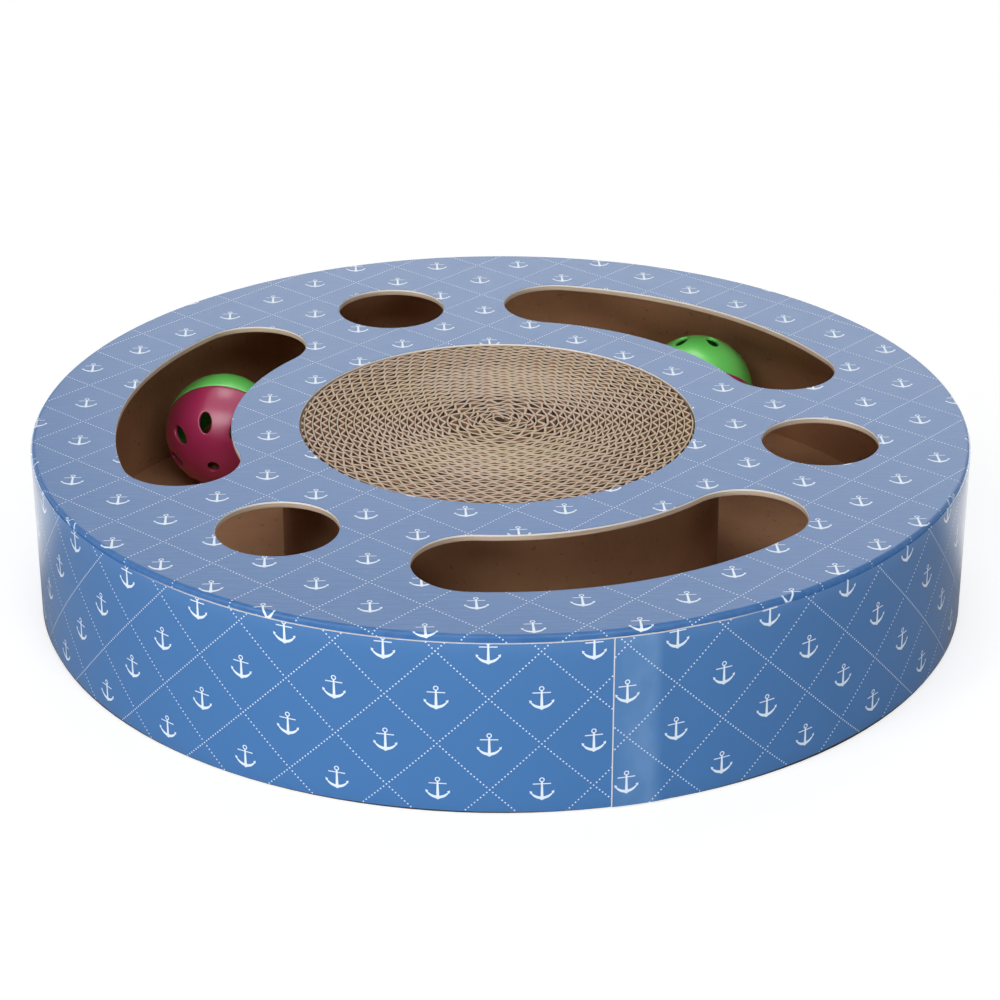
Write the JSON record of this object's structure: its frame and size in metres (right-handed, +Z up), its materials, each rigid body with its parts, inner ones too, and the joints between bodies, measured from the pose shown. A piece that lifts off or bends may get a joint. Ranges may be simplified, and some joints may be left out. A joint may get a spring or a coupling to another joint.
{
  "type": "cat scratching drum",
  "caption": "Low round cardboard drum with a spiral-wound corrugated scratching pad in the middle and a covered ring track of rolling rattle balls, reached through slots and holes.",
  "frame": {"origin": "centre of the underside of the base board", "axes": "+Z up through the pad, -Y towards the side that the picture is taken from"},
  "size_m": [0.331, 0.331, 0.0625],
  "materials": {
    "kraft_board": "plain brown board, matt",
    "cut_board": "light brown board with die-cut edges",
    "pad_board": "single-face corrugated board on edge",
    "printed_top": "blue print under a satin film",
    "printed_side": "blue print under a gloss film",
    "green_plastic": "glossy moulded plastic",
    "magenta_plastic": "glossy moulded plastic",
    "bell_steel": "plated sheet steel"
  },
  "bodies": {
    "drum": {"base_board": "kraft_board", "outer_wall": "kraft_board", "core_wall": "kraft_board", "pad_liner": "pad_board", "pad_fluting": "pad_board", "top_board": "cut_board", "top_sheet": "printed_top", "side_wrap": "printed_side"},
    "bell_a": {"bell_a_upper": "bell_steel", "bell_a_lower": "bell_steel"},
    "ball_a": {"ball_a_green_half": "green_plastic", "ball_a_magenta_half": "magenta_plastic"},
    "pellet_a": {"bell_a_pellet": "bell_steel"},
    "bell_b": {"bell_b_upper": "bell_steel", "bell_b_lower": "bell_steel"},
    "ball_b": {"ball_b_green_half": "green_plastic", "ball_b_magenta_half": "magenta_plastic"},
    "pellet_b": {"bell_b_pellet": "bell_steel"}
  },
  "joints": [
    {"name": "ball_a_orbit", "type": "hinge", "parent": "drum", "child": "bell_a", "pos_m": [0, 0, 0.0253], "axis": [0, 0, 1], "range_deg": [-35, 124]},
    {"name": "ball_a_roll", "type": "hinge", "parent": "bell_a", "child": "ball_a", "pos_m": [-0.10678, 0.07202, 0.0253], "axis": [0.829, -0.5592, 0], "continuous": true},
    {"name": "pellet_a_drop", "type": "slide", "parent": "bell_a", "child": "pellet_a", "axis": [0, 0, 1], "range_m": [0, 0.009]},
    {"name": "ball_b_orbit", "type": "hinge", "parent": "drum", "child": "bell_b", "pos_m": [0, 0, 0.0253], "axis": [0, 0, 1], "range_deg": [-124, 35]},
    {"name": "ball_b_roll", "type": "hinge", "parent": "bell_b", "child": "ball_b", "pos_m": [0.07812, 0.11157, 0.0253], "axis": [-0.5736, -0.8192, 0], "continuous": true},
    {"name": "pellet_b_drop", "type": "slide", "parent": "bell_b", "child": "pellet_b", "axis": [0, 0, 1], "range_m": [0, 0.009]}
  ],
  "couplings": [
    {"joint": "ball_a_roll", "follows": "ball_a_orbit", "ratio": 5.8545},
    {"joint": "ball_b_roll", "follows": "ball_b_orbit", "ratio": 6.1909}
  ]
}
